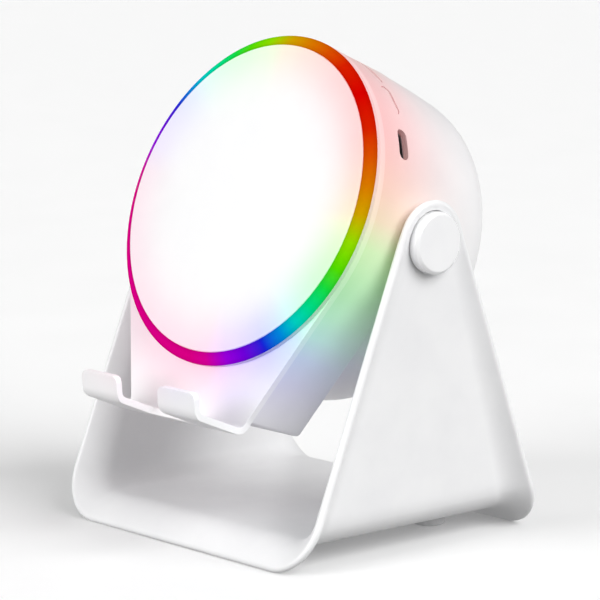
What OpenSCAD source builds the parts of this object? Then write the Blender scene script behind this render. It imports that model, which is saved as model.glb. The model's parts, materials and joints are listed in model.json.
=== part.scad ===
// Desk USB hub: a round hub body with a light ring, a wireless-charging face and a phone
// ledge, hung between the arms of a sheet-like stand on a friction hinge.
//
// The stand lies in the part's own axes: X along the hinge, front towards -Y, +Z up, table
// at Z = 0.  Everything on the head is drawn in head axes (u, v, w): u to the right, v up
// along the face, w out of the face, with the hinge at the origin.  head_place() puts them
// into the part.

/* [Head body] */
// Radius of the round face, to the outside of the light ring
head_r = 50; // [46:0.5:54]
// Radius of the body just behind the front plate
body_r = 49.8; // [45:0.1:50]
// Radius of the body where its rear rounding starts
tail_r = 48.3; // [44:0.1:49]
// Distance from the hinge axis forward to the outer edge of the light ring
ring_edge_w = 23.9; // [22:0.1:26]
// Distance from the hinge axis back to the flat rear of the body
rear_depth = 33.5; // [30:0.5:38]
// Radius of the rounding at the rear of the body
rear_round = 13.5; // [8:0.5:15]
// Wall thickness of the body
wall = 2.2; // [1.6:0.1:3]

/* [Chin and phone ledge] */
// Drop of the chin corners below the hinge axis, along the face
chin_drop = 65.4; // [60:0.2:70]
// Half the width across the chin corners
chin_half_w = 24.4; // [20:0.2:30]
// Position of the rear face of the chin, in front of the hinge axis
chin_rear_w = 1.5; // [0:0.5:6]
// Thickness of the front plate and of the ledge bent from it
plate_t = 2; // [1.5:0.1:2.5]
// Half the overall width of the ledge
ledge_half_w = 25; // [20:0.5:28]
// Half the width of the cable notch between the two hooks
notch_half_w = 9; // [6:0.1:11]
// Length of the straight lip of each hook
lip_len = 3.8; // [3:0.1:8]

/* [Light ring and face] */
// Radius of the inner edge of the light ring
ring_in_r = 46.6; // [44:0.1:47.5]
// Height of the ring's inner edge above its outer edge
ring_rise = 2.1; // [1:0.1:3]
// Number of light-emitting diodes behind the ring
led_count = 24; // [12:4:36]

/* [Ports and buttons] */
// Angle round the body from the top to the side USB-C port
side_port_angle = 61; // [56:1:66]
// Angle round the body from the top to the longer button
mode_button_angle = 25.8; // [22:0.1:28]
// Angle round the body from the top to the shorter button
power_button_angle = 42.2; // [40:0.1:44]
// Travel of each button
button_travel = 0.5; // [0.3:0.1:0.8]
// Distance of the ports and buttons in front of the hinge axis
port_w = 12.2; // [11.8:0.1:12.8]
// Spacing between the two USB-A ports at the rear
usb_a_pitch = 12; // [10:0.5:14]

/* [Stand] */
// Height of the hinge axis above the table
pivot_h = 89.6; // [86:0.2:96]
// Half the depth of the stand at the table
base_half_d = 47; // [44:0.5:54]
// Half the width across the flared edges of the stand
rim_half_w = 54; // [53.8:0.1:57]
// Half the width across the arms at the hinge
arm_half_w = 53; // [52.6:0.1:53.4]
// Outward lean of each arm, in degrees
arm_lean = 2.8; // [0:0.1:4]
// Radius of the rounded top of each arm
arm_top_r = 10.4; // [10:0.1:13]
// Height of the underside of the floor
floor_h = 5.66; // [4:0.1:8]
// Thickness of the stand's wall
sheet_t = 2.3; // [1.8:0.1:3]
// Outside radius of the bend between floor and arm
bend_r = 9.1; // [6:0.1:12]
// Tilt of the head back from upright, as drawn
head_tilt = 22.1; // [0:0.1:60]

/* [Hinge] */
// Radius of the hinge screw's shoulder
shoulder_r = 4; // [3:0.1:4.5]
// Running clearance between shoulder and arm
hinge_gap = 0.05; // [0.02:0.01:0.1]
// Radius of the round hinge cap
cap_r = 8.9; // [8:0.1:9.4]
// Thickness of the hinge cap
cap_t = 3.4; // [3:0.1:4.5]

/* [Hidden] */
$fn = 96;
eps = 0.01;

// Levels along w, from the front to the rear
plate_w = ring_edge_w - 1.4;                 // front of the plate and chin
shell_w = plate_w - plate_t;                 // front edge of the body shell
face_w = ring_edge_w + ring_rise;            // front of the face disc
rear_w = -rear_depth;
board_t = 1.6;
main_board_w = port_w - 1.8 - board_t;       // rear of the main board
port_board_w = -18.9;                        // rear of the port board

// Chin outline: straight sides that leave the round face as tangents
tangent_angle = atan2(chin_half_w, chin_drop) + acos(head_r / norm([chin_half_w, chin_drop]));
chin_bottom_front = -63.4;
chin_bottom_rear = -62;
chin_corner_r = 4;

// Ledge, bent from the plate's lower edge
ledge_bend_r = 4;                            // outside radius of the bend at the plate
ledge_bend_v = -63.2;                        // height at which the plate starts to bend
ledge_floor_v = ledge_bend_v - ledge_bend_r; // underside of the ledge
hook_bend_r = 4;                             // outside radius of the bend at the hooks
hook_bend_w = 38.2;                          // where the floor ends and the hooks bend up
hook_sweep = 64;                             // how far the hooks turn up from the floor
notch_rear_w = 28;                           // rear edge of the cable notch
notch_corner_r = 1;
hook_corner_r = 2;
hook_corner_lap = 0.1;                       // how far the corner rounding cuts below the tip
arc_steps = 10;                              // straight steps in each bend of the ledge

// Hinge
boss_r = 8.5;
boss_face = 49.6;                            // outer face of the body's hinge boss
seat_face = 50.2;                            // inner face of the arm's hinge seat
seat_r = 9.2;
washer_t = 0.5;
insert_r = 3.6;
thread_r = 2.5;
screw_head_r = 6.4;
screw_head_t = 1.6;
cap_gap = 0.15;                              // between the cap and the arm
recess_gap = 0.3;                            // round the cap and round each washer

// Rear cover
cover_r = 34;
cover_t = 2.2;
cover_screw_pos = 29.5;
board_post_pos = 40;
post_foot_w = rear_w + 2.5;                  // posts start inside the rounded rear wall
cover_post_pos = 25;

// Buttons
mode_button_len = 12.7;
power_button_len = 11;
button_w = 3.4;
button_gap = 0.12;
button_depth = 3.4;

// Stand: the sheet is laid out flat, then bent.  The position along its section is s, from
// the middle of the floor outwards.
foot_r = 5;
rim_lift = 0.4;                              // clearance of the flared edge above the table
floor_flare_w = 10;                          // width of the flare, in from the floor's edge
arm_flare_w = 8;
top_flare_w = 5;
edge_slope = atan2(base_half_d, pivot_h) - asin(arm_top_r / norm([base_half_d, pivot_h]));
bend_turn = 90 - arm_lean;
bend_end_h = floor_h + bend_r * (1 - cos(bend_turn));
bend_end_x = arm_half_w - (pivot_h - bend_end_h) * tan(arm_lean);
bend_start_x = bend_end_x - bend_r * sin(bend_turn);
bend_end_s = bend_start_x + bend_r * bend_turn * PI / 180;
pivot_s = bend_end_s + (pivot_h - bend_end_h) / cos(arm_lean);

// Half-way between the front of the hooks and the rear of the stand, for the origin
hook_mid_r = hook_bend_r - plate_t / 2;
hook_tip = [hook_bend_w + hook_mid_r * cos(hook_sweep - 90) + lip_len * cos(hook_sweep),
            ledge_floor_v + hook_bend_r + hook_mid_r * sin(hook_sweep - 90)
                + lip_len * sin(hook_sweep)];
hook_reach = hook_tip[0] * cos(head_tilt) - hook_tip[1] * sin(head_tilt) + plate_t / 2;
rim_steepness = -2 * (floor_h - rim_lift) / floor_flare_w;
rim_reach = base_half_d + sheet_t / 2 * (1 - rim_steepness / norm([1, rim_steepness]));
origin_y = (hook_reach - rim_reach) / 2;

// ---------------------------------------------------------------- placing helpers

// From head axes (u, v, w) into the part
module head_place() {
    translate([0, origin_y, pivot_h]) rotate([90 - head_tilt, 0, 0]) children();
}

// A body of revolution about the hinge axis, on the right (side = 1) or left (side = -1):
// the children's +Z points outwards
module hinge_side(side) {
    rotate([0, 90 * side, 0]) children();
}

// Children drawn with +Z pointing straight out of the body at an angle from the top and at
// the port level: X then runs round the body and Y along w
module round_body(angle, radius) {
    rotate([0, 0, -angle]) translate([0, radius, port_w]) rotate([-90, 0, 0])
        rotate([0, 0, 180]) children();
}

// A rectangle with fully rounded ends, long side along X
module pill(length, width) {
    square([length - width, width], center = true);
    for (end = [-1, 1]) translate([end * (length - width) / 2, 0]) circle(d = width);
}

// A tube or ring
module ring(outer_r, inner_r, height) {
    difference() {
        cylinder(r = outer_r, h = height);
        translate([0, 0, -1]) cylinder(r = inner_r, h = height + 2);
    }
}

// ---------------------------------------------------------------- stand

// Point and outward normal of the sheet's outer face at position s: [x, z, normal x, normal z]
function section(s) =
    s < bend_start_x ? [s, floor_h, 0, -1] :
    s < bend_end_s ?
        let (a = (s - bend_start_x) * 180 / PI / bend_r)
        [bend_start_x + bend_r * sin(a), floor_h + bend_r * (1 - cos(a)), sin(a), -cos(a)] :
        let (up = s - bend_end_s)
        [bend_end_x + up * sin(arm_lean), bend_end_h + up * cos(arm_lean),
         cos(arm_lean), -sin(arm_lean)];

// How far the flared edge stands out of the sheet at position s
function flare_at(s) =
    s < bend_start_x ? floor_h - rim_lift :
    s < bend_end_s ?
        let (t = (s - bend_start_x) / (bend_end_s - bend_start_x))
        (1 - t) * (floor_h - rim_lift) + t * (rim_half_w - bend_end_x) :
        (rim_half_w - section(min(s, pivot_s))[0]) / cos(arm_lean);

// Width of the flare at position s
function flare_w_at(s) =
    s < bend_start_x ? floor_flare_w :
    s < bend_end_s ?
        let (t = (s - bend_start_x) / (bend_end_s - bend_start_x))
        (1 - t) * floor_flare_w + t * arm_flare_w :
        let (t = min(1, (s - bend_end_s) / (pivot_s - bend_end_s)))
        (1 - t) * arm_flare_w + t * top_flare_w;

// One row starts at the sheet's front edge: [s, y, direction in from the edge, in degrees]
function edge_row(s, turn) =
    let (c = section(s), rim_z = c[1] + flare_at(s) * c[3])
    [s, -(base_half_d - tan(edge_slope) * rim_z), turn];
floor_rows = [for (t = [0, 0.5]) edge_row(t * bend_start_x, 0)];
bend_rows = [for (i = [0:7]) edge_row(
    bend_start_x + (bend_end_s - bend_start_x) * i / 8, edge_slope * i / 8)];
arm_rows = [for (i = [0:7]) edge_row(
    bend_end_s + (pivot_s + arm_top_r * sin(edge_slope) - bend_end_s) * i / 8, edge_slope)];
top_rows = [for (i = [0:10])
    let (a = edge_slope + (90 - edge_slope) * i / 10)
    [pivot_s + arm_top_r * sin(a), -arm_top_r * cos(a), a]];
half_rows = concat(floor_rows, bend_rows, arm_rows, top_rows);
half_count = len(half_rows) - 1;

// Outer face at distance d in from the edge, and the frame there: [point, inward unit vector
// square to the sheet, unit vector in from the edge along the sheet]
function sheet_frame(row, d) =
    let (
        c = section(row[0] - d * sin(row[2])),
        depth = flare_w_at(row[0]),
        t = 1 - d / depth,
        lift = flare_at(row[0]) * t * t,
        slope = -2 * flare_at(row[0]) / depth * t,
        inset = [c[3] * sin(row[2]), cos(row[2]), -c[2] * sin(row[2])],
        out = [c[2], 0, c[3]],
        point = [c[0], row[1] + d * cos(row[2]), c[1]] + out * lift,
        along = (inset + out * slope) / norm([1, slope]),
        square_in = (inset * slope - out) / norm([1, slope])
    ) [point, square_in, along];

// The front half of one row, as a list of points: outer face from the edge inwards, inner
// face back out, and the rounded edge
flare_steps = [0, 0.16, 0.34, 0.54, 0.76, 1];
edge_steps = [45, 90, 135];
function row_points(row) =
    let (
        frames = [for (t = flare_steps) sheet_frame(row, t * flare_w_at(row[0]))],
        first = frames[0],
        mid = first[0] + first[1] * sheet_t / 2
    ) concat(
        [for (f = frames) f[0]],
        [for (i = [len(frames) - 1:-1:0]) frames[i][0] + frames[i][1] * sheet_t],
        [for (a = edge_steps)
            mid + first[1] * sheet_t / 2 * cos(a) - first[2] * sheet_t / 2 * sin(a)]
    );
steps = len(flare_steps);
row_size = 2 * steps + len(edge_steps);      // points in the front half of one row

function mirror_x(p) = [-p[0], p[1], p[2]];
function mirror_y(p) = [p[0], -p[1], p[2]];

// The whole sheet as rows from the left arm's top, under the floor, to the right arm's top.
// A row is a closed loop: front half, then rear half.
rows = concat(
    [for (i = [half_count:-1:1]) [for (p = row_points(half_rows[i])) mirror_x(p)]],
    [for (i = [0:half_count]) row_points(half_rows[i])]
);
row_count = len(rows);
loop = 2 * row_size;
sheet_points = concat(
    [for (r = rows) for (p = r) p],
    [for (r = rows) for (p = r) mirror_y(p)]
);
// Column order round the loop: outer face front to rear, rear edge, inner face, front edge
function column(k) =
    k < steps ? [0, k] :
    k < 2 * steps ? [1, 2 * steps - 1 - k] :
    k < 2 * steps + 3 ? [1, row_size - 1 - (k - 2 * steps)] :
    k < 3 * steps + 3 ? [1, 2 * steps - 1 - (k - 2 * steps - 3)] :
    k < 4 * steps + 3 ? [0, steps + (k - 3 * steps - 3)] :
    [0, 2 * steps + (k - 4 * steps - 3)];
// At the arms' tops the rear half of a row is the front half
function point_index(i, k) =
    let (c = column(k % loop), half = (i == 0 || i == row_count - 1) ? 0 : c[0])
    half * row_count * row_size + i * row_size + c[1];
function distinct(f) = f[0] != f[1] && f[1] != f[2] && f[0] != f[2];
sheet_faces = [
    for (i = [0:row_count - 2]) for (k = [0:loop - 1])
        let (a = point_index(i, k), b = point_index(i, k + 1),
             c = point_index(i + 1, k + 1), d = point_index(i + 1, k))
        for (f = [[a, c, b], [a, d, c]]) if (distinct(f)) f
];

module stand_frame() {
    color("white") translate([0, origin_y, 0]) difference() {
        union() {
            polyhedron(points = sheet_points, faces = sheet_faces, convexity = 8);
            // Flat hinge seats, square to the hinge axis
            translate([0, 0, pivot_h]) for (side = [-1, 1]) hinge_side(side)
                translate([0, 0, seat_face]) cylinder(r = seat_r, h = arm_half_w - seat_face);
        }
        translate([0, 0, pivot_h]) for (side = [-1, 1]) hinge_side(side) {
            translate([0, 0, seat_face - 5]) cylinder(r = shoulder_r + hinge_gap, h = 15);
            // Shallow flat recess that the cap turns in
            translate([0, 0, arm_half_w]) cylinder(r = cap_r + recess_gap, h = 5);
        }
    }
}

module rubber_feet() {
    color("dimgray") translate([0, origin_y, 0])
        for (x = [-1, 1], y = [-1, 1]) translate([x * 27, y * 27, 0])
            cylinder(r = foot_r, h = floor_h);
}

// ---------------------------------------------------------------- head shells

// Outline of face and chin, moved inwards by inset; the chin runs down to bottom
module head_outline(radius, bottom) {
    a = tangent_angle;
    half = (radius + bottom * cos(a)) / sin(a);
    circle(r = radius);
    polygon([[-radius * sin(a), -radius * cos(a)], [-half, bottom],
             [half, bottom], [radius * sin(a), -radius * cos(a)]]);
}

// Side view of the chin body, drawn as (w, v), moved inwards by inset
module chin_side(inset) {
    r = chin_corner_r;
    top = head_r + 5;
    rear = chin_rear_w + inset;
    polygon(concat(
        [[shell_w + 1, chin_bottom_front + inset], [shell_w + 1, top], [rear, top]],
        [for (i = [0:6]) let (a = 180 + 15 * i)
            [rear + r + r * cos(a), chin_bottom_rear + r + inset + r * sin(a)]]
    ));
}

// Children drawn as (w, v), pushed out along u
module across(width) {
    rotate([0, -90, 0]) linear_extrude(width, center = true) children();
}

// The solid inside the shell's outer face, moved inwards by inset
module body_solid(inset) {
    r = rear_round - inset;
    rear = rear_w + inset;
    tail = tail_r - inset;
    rotate_extrude() polygon(concat(
        [[0, rear]],
        [for (i = [0:9]) [tail - r + r * sin(10 * i), rear + r - r * cos(10 * i)]],
        [[body_r - inset, chin_rear_w + inset], [body_r - inset, shell_w + (inset > 0 ? 1 : 0)],
         [0, shell_w + (inset > 0 ? 1 : 0)]]
    ));
    intersection() {
        translate([0, 0, chin_rear_w - 5])
            linear_extrude(shell_w - chin_rear_w + 5 + (inset > 0 ? 1 : 0))
                head_outline(body_r - inset, -66);
        across(120) chin_side(inset);
    }
}

// Cut-out for a button: its pill shape plus the working gap
module button_hole(angle, length) {
    round_body(angle, body_r - 8)
        linear_extrude(12) pill(length + 2 * button_gap, button_w + 2 * button_gap);
}

module body_shell() {
    color("white") head_place() difference() {
        union() {
            difference() {
                body_solid(0);
                body_solid(wall);
            }
            // Hinge bosses
            for (side = [-1, 1]) hinge_side(side)
                translate([0, 0, boss_face - 11]) cylinder(r = boss_r, h = 11);
            // Posts that carry the main board
            for (i = [0:2]) rotate([0, 0, 120 * i]) translate([0, board_post_pos, post_foot_w])
                cylinder(r = 2.6, h = main_board_w - post_foot_w);
        }
        // Opening for the rear cover
        translate([0, 0, rear_w - 1]) cylinder(r = cover_r + 0.15, h = wall + 2);
        // Holes in the hinge bosses for the threaded inserts, and flats for the washers
        for (side = [-1, 1]) hinge_side(side) {
            translate([0, 0, boss_face - 12]) cylinder(r = insert_r, h = 20);
            translate([0, 0, boss_face]) cylinder(r = boss_r + recess_gap, h = 5);
        }
        // Side USB-C opening
        round_body(side_port_angle, body_r - 8) linear_extrude(12) pill(9.8, 3.8);
        button_hole(mode_button_angle, mode_button_len);
        button_hole(power_button_angle, power_button_len);
        // Screw holes in the posts
        for (i = [0:2]) rotate([0, 0, 120 * i])
            translate([0, board_post_pos, main_board_w - 6]) cylinder(r = 0.9, h = 7);
    }
}

// Points of an arc about [w, v], turning from angle a to angle b
function arc(w, v, r, a, b) =
    [for (i = [0:arc_steps]) let (t = a + (b - a) * i / arc_steps) [w + r * cos(t), v + r * sin(t)]];

// Section of the ledge, drawn as (w, v): bend, floor, hook bend, lip with a rounded tip
module ledge_section() {
    t = plate_t;
    bend_w = shell_w + ledge_bend_r;
    hook_v = ledge_floor_v + hook_bend_r;
    lip = hook_sweep - 90;
    polygon(concat(
        arc(bend_w, ledge_bend_v, ledge_bend_r, 180, 270),
        arc(hook_bend_w, hook_v, hook_bend_r, -90, lip),
        arc(hook_tip[0], hook_tip[1], t / 2, lip, lip + 180),
        arc(hook_bend_w, hook_v, hook_bend_r - t, lip, -90),
        arc(bend_w, ledge_bend_v, ledge_bend_r - t, 270, 180)
    ));
}

module front_plate() {
    color("white") head_place() {
        difference() {
            translate([0, 0, shell_w]) linear_extrude(plate_t) head_outline(head_r, ledge_bend_v);
            translate([0, 0, shell_w - 1]) cylinder(r = 47, h = plate_t + 2);
        }
        difference() {
            across(2 * ledge_half_w) ledge_section();
            // Cable notch with rounded inner corners
            translate([0, -40, 0]) rotate([90, 0, 0]) linear_extrude(40) {
                translate([-notch_half_w, notch_rear_w + notch_corner_r])
                    square([2 * notch_half_w, 40]);
                translate([-notch_half_w + notch_corner_r, notch_rear_w])
                    square([2 * (notch_half_w - notch_corner_r), 40]);
                for (side = [-1, 1])
                    translate([side * (notch_half_w - notch_corner_r),
                               notch_rear_w + notch_corner_r]) circle(r = notch_corner_r);
            }
            // Rounded upper corners of the hooks
            for (side = [-1, 1], edge = [notch_half_w, ledge_half_w])
                hook_corner(side * edge, (edge == ledge_half_w ? 1 : -1) * side);
        }
    }
}

// Cutter that rounds one upper corner of a hook at u; dir points off the hook's side
module hook_corner(u, dir) {
    tip = hook_tip[1] + plate_t / 2 - hook_corner_lap;
    translate([0, 0, hook_bend_w]) linear_extrude(12) difference() {
        translate([min(u - dir * hook_corner_r, u + dir), tip - hook_corner_r])
            square([hook_corner_r + 1, hook_corner_r + 1]);
        translate([u - dir * hook_corner_r, tip - hook_corner_r]) circle(r = hook_corner_r);
    }
}

// ---------------------------------------------------------------- light ring and face

module light_ring() {
    color("deeppink") head_place() rotate_extrude()
        polygon([[ring_in_r, shell_w + 0.2], [46.9, shell_w + 0.2], [46.9, plate_w],
                 [head_r, plate_w], [head_r, ring_edge_w], [ring_in_r, face_w]]);
}

module face_disc() {
    color("white") head_place() translate([0, 0, face_w - 2]) cylinder(r = ring_in_r - 0.1, h = 2);
}

module coil_tray() {
    color("gainsboro") head_place() {
        translate([0, 0, face_w - 6.6]) cylinder(r = 44, h = 2);
        translate([0, 0, face_w - 4.6]) ring(44, 42, 2.6);
    }
}

module charging_coil() {
    color("chocolate") head_place() translate([0, 0, face_w - 3.6]) ring(21, 10, 1.5);
}

module magnet_ring() {
    color("slategray") head_place() difference() {
        translate([0, 0, face_w - 4.6]) ring(27.5, 23.5, 2.5);
        // Gap where the coil's leads run out
        translate([-4, -30, face_w - 5]) cube([8, 10, 4]);
    }
}

module ferrite_sheet() {
    color("dimgray") head_place() translate([0, 0, face_w - 4.6]) cylinder(r = 22, h = 1);
}

module led_board() {
    color("darkgreen") head_place() translate([0, 0, shell_w - 3]) ring(47.4, 44.7, 1);
}

module ring_leds() {
    color("lightyellow") head_place()
        for (i = [0:led_count - 1]) rotate([0, 0, 360 / led_count * i])
            translate([0, 46, shell_w - 1.5]) cube([2.4, 1.8, 1], center = true);
}

// ---------------------------------------------------------------- electronics

module main_board() {
    color("darkgreen") head_place() difference() {
        translate([0, 0, main_board_w]) cylinder(r = 45, h = board_t);
        for (i = [0:2]) rotate([0, 0, 120 * i])
            translate([0, board_post_pos, main_board_w - 1]) cylinder(r = 1.2, h = 4);
    }
}

// Hub controller, charging controller, power switches and inductors: [u, v, side, height]
chips = [[-8, 4, 9, 1], [12, -6, 7, 1], [-4, -18, 6, 2.6], [8, -22, 6, 2.6],
         [-22, 12, 5, 1], [-20, -8, 4, 1.2], [2, 22, 5, 1]];
module board_chips() {
    color("black") head_place() for (c = chips)
        translate([c[0], c[1], main_board_w + board_t + c[3] / 2])
            cube([c[2], c[2], c[3]], center = true);
}

module heat_spreader() {
    color("silver") head_place() translate([-18, -26, main_board_w - 1.5]) cube([36, 44, 1.5]);
}

// A USB-C receptacle's shell and tongue, mouth at the top of +Z, 7 long
module usb_c_shell() {
    difference() {
        linear_extrude(7) pill(8.94, 3.26);
        translate([0, 0, 1]) linear_extrude(7) pill(8.34, 2.66);
    }
}
module usb_c_tongue() {
    translate([0, 0, 1 + 2.6]) cube([6.7, 0.7, 5.2], center = true);
}

// A USB-A receptacle's shell and tongue, mouth at the top of +Z, 14 long
usb_a_len = 14;
module usb_a_shell() {
    difference() {
        translate([0, 0, usb_a_len / 2]) cube([13.2, 5.8, usb_a_len], center = true);
        translate([0, 0, usb_a_len / 2 + 1]) cube([12.5, 5.1, usb_a_len], center = true);
    }
}
module usb_a_tongue() {
    translate([0, 1.2, 1 + 5.5]) cube([11.2, 1.9, 11], center = true);
}

side_port_base = body_r - 1.6 - 7;
module side_usb_c_shell() {
    color("silver") head_place() round_body(side_port_angle, side_port_base) usb_c_shell();
}
module side_usb_c_tongue() {
    color("black") head_place() round_body(side_port_angle, side_port_base) usb_c_tongue();
}

// Rear ports: children drawn with +Z pointing out of the rear, on the port board
module rear_port(u, v) {
    translate([u, v, port_board_w]) rotate([180, 0, 0]) children();
}
usb_a_places = [for (side = [-1, 1]) [0, side * usb_a_pitch / 2 + 5]];
module usb_a_shells() {
    color("silver") head_place() for (p = usb_a_places) rear_port(p[0], p[1]) usb_a_shell();
}
module usb_a_tongues() {
    color("black") head_place() for (p = usb_a_places) rear_port(p[0], p[1]) usb_a_tongue();
}
input_v = -13;
input_lift = usb_a_len - 7;                  // spacer under the shorter input receptacle
module input_usb_c_shell() {
    color("silver") head_place() rear_port(0, input_v) {
        translate([0, 0, input_lift]) usb_c_shell();
        translate([0, 0, input_lift / 2]) cube([8, 2.6, input_lift], center = true);
    }
}
module input_usb_c_tongue() {
    color("black") head_place() rear_port(0, input_v) translate([0, 0, input_lift])
        usb_c_tongue();
}

module port_board() {
    color("darkgreen") head_place() difference() {
        translate([0, 0, port_board_w]) cylinder(r = 29, h = board_t);
        for (side = [-1, 1])
            translate([side * cover_post_pos, 0, port_board_w - 1]) cylinder(r = 1.2, h = 4);
    }
}

module board_ribbon() {
    color("lightgray") head_place()
        translate([-6, 23, port_board_w + board_t])
            cube([12, 0.3, main_board_w - port_board_w - board_t]);
}

module button_switches() {
    color("black") head_place()
        for (angle = [mode_button_angle, power_button_angle])
            rotate([0, 0, -angle]) translate([-2, 39.5, main_board_w + board_t])
                cube([4, 5, 2.8]);
}

// ---------------------------------------------------------------- rear cover and screws

module rear_cover() {
    color("white") head_place() difference() {
        union() {
            translate([0, 0, rear_w]) cylinder(r = cover_r, h = cover_t);
            for (side = [-1, 1]) translate([side * cover_post_pos, 0, rear_w + cover_t])
                cylinder(r = 2.4, h = port_board_w - rear_w - cover_t);
        }
        for (p = usb_a_places) translate([p[0], p[1], rear_w + 1])
            cube([13.5, 6.1, 6], center = true);
        translate([0, input_v, rear_w - 1]) linear_extrude(6) pill(9.3, 3.6);
        for (i = [0:3]) rotate([0, 0, 45 + 90 * i])
            translate([0, cover_screw_pos, rear_w - 1]) cylinder(r = 1.5, h = 6);
        // Air slots below the ports
        for (i = [-2:2]) translate([i * 4, -23, rear_w - 1]) linear_extrude(6)
            rotate(90) pill(6, 1.4);
        for (side = [-1, 1]) translate([side * cover_post_pos, 0, port_board_w - 5])
            cylinder(r = 0.9, h = 6);
    }
}

module cover_screws() {
    color("silver") head_place() for (i = [0:3]) rotate([0, 0, 45 + 90 * i])
        translate([0, cover_screw_pos, rear_w + 0.3]) difference() {
            cylinder(r = 1.45, h = 6);
            translate([0, 0, -1]) cylinder(r = 0.7, h = 1.8);
        }
}

module board_screws() {
    color("silver") head_place() {
        for (i = [0:2]) rotate([0, 0, 120 * i]) translate([0, board_post_pos, main_board_w]) {
            translate([0, 0, board_t]) cylinder(r = 2, h = 1.2);
            translate([0, 0, -5]) cylinder(r = 0.85, h = board_t + 5);
        }
        for (side = [-1, 1]) translate([side * cover_post_pos, 0, port_board_w]) {
            translate([0, 0, board_t]) cylinder(r = 2, h = 1.2);
            translate([0, 0, -4]) cylinder(r = 0.85, h = board_t + 4);
        }
    }
}

// ---------------------------------------------------------------- buttons

// A button cap: a pill pushed out along the body's radius and cut flush with the body
module button_cap(angle, length) {
    color("white") head_place() intersection() {
        round_body(angle, body_r - button_depth) linear_extrude(6) pill(length, button_w);
        cylinder(r = body_r - 0.05, h = 40);
    }
}
module mode_button() { button_cap(mode_button_angle, mode_button_len); }
module power_button() { button_cap(power_button_angle, power_button_len); }

// ---------------------------------------------------------------- hinge

module hinge_insert(side) {
    color("gold") head_place() hinge_side(side)
        translate([0, 0, boss_face - 9]) ring(insert_r, thread_r, 9);
}

// Shoulder screw: thread in the insert, shoulder in the arm, head under the cap
module hinge_screw(side) {
    shoulder_end = arm_half_w + cap_gap + 0.05;
    color("silver") head_place() hinge_side(side) {
        translate([0, 0, boss_face - 8]) cylinder(r = thread_r, h = 8 + eps);
        translate([0, 0, boss_face]) cylinder(r = shoulder_r, h = shoulder_end - boss_face);
        difference() {
            translate([0, 0, shoulder_end]) cylinder(r = screw_head_r, h = screw_head_t);
            translate([0, 0, shoulder_end + 0.4]) cylinder(r = 2, h = 3, $fn = 6);
        }
    }
}

module friction_washer(side) {
    color("dimgray") head_place() hinge_side(side)
        translate([0, 0, boss_face]) ring(boss_r, shoulder_r + 0.02, washer_t);
}

// Smooth round cap with a bevelled edge, hollow to take the screw's head
module hinge_cap(side) {
    bevel = 0.9;
    depth = 0.05 + screw_head_t;
    color("white") head_place() hinge_side(side)
        translate([0, 0, arm_half_w + cap_gap]) rotate_extrude()
            polygon([[screw_head_r + 0.02, 0], [cap_r, 0], [cap_r, cap_t - bevel],
                     [cap_r - bevel, cap_t], [0, cap_t], [0, depth], [screw_head_r + 0.02, depth]]);
}

module hinge_insert_left() { hinge_insert(-1); }
module hinge_insert_right() { hinge_insert(1); }
module hinge_screw_left() { hinge_screw(-1); }
module hinge_screw_right() { hinge_screw(1); }
module friction_washer_left() { friction_washer(-1); }
module friction_washer_right() { friction_washer(1); }
module hinge_cap_left() { hinge_cap(-1); }
module hinge_cap_right() { hinge_cap(1); }

// ---------------------------------------------------------------- nodes

stand_frame();
rubber_feet();
body_shell();
front_plate();
light_ring();
face_disc();
coil_tray();
charging_coil();
magnet_ring();
ferrite_sheet();
led_board();
ring_leds();
main_board();
board_chips();
heat_spreader();
side_usb_c_shell();
side_usb_c_tongue();
usb_a_shells();
usb_a_tongues();
input_usb_c_shell();
input_usb_c_tongue();
port_board();
board_ribbon();
rear_cover();
cover_screws();
board_screws();
button_switches();
mode_button();
power_button();
hinge_insert_left();
hinge_insert_right();
hinge_screw_left();
hinge_screw_right();
friction_washer_left();
friction_washer_right();
hinge_cap_left();
hinge_cap_right();
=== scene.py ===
# %% [markdown]
# # A desk USB hub with a light ring
#
# A round hub body hangs between the arms of a bent-sheet stand.  Its front is a wireless
# charging face with a rainbow light ring round it, and its front plate bends forward at the
# bottom into a phone ledge with two hooks.  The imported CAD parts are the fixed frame.  This
# lesson replaces the shells that show with finer surfaces, each worked out with numpy, and
# gives every part a procedural finish.

import json

import bmesh
import bpy
import numpy as np
from mathutils import Matrix


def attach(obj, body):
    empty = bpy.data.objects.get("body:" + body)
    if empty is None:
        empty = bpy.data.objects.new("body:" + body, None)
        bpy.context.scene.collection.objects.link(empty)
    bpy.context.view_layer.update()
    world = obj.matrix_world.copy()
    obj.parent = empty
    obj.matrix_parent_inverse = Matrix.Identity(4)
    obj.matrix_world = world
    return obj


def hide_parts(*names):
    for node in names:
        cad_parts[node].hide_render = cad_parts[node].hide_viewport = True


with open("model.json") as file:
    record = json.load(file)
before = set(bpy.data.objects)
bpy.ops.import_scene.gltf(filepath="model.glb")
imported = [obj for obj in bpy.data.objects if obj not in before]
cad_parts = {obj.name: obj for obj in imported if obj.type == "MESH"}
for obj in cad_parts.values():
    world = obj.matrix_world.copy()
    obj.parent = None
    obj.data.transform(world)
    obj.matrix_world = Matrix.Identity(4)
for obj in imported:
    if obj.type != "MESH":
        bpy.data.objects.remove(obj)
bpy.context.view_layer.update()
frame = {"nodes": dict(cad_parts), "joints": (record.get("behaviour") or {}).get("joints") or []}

# %% [markdown]
# ## The two sets of axes
#
# The stand lies square to the table, but the head hangs tilted back on its hinge.  Every
# piece of the head is drawn in head axes: u to the right, v up along the face, w out of the
# face, with the hinge at the origin.  The tilt and the hinge's place come from the joint, so
# nothing is typed in twice.

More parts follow.
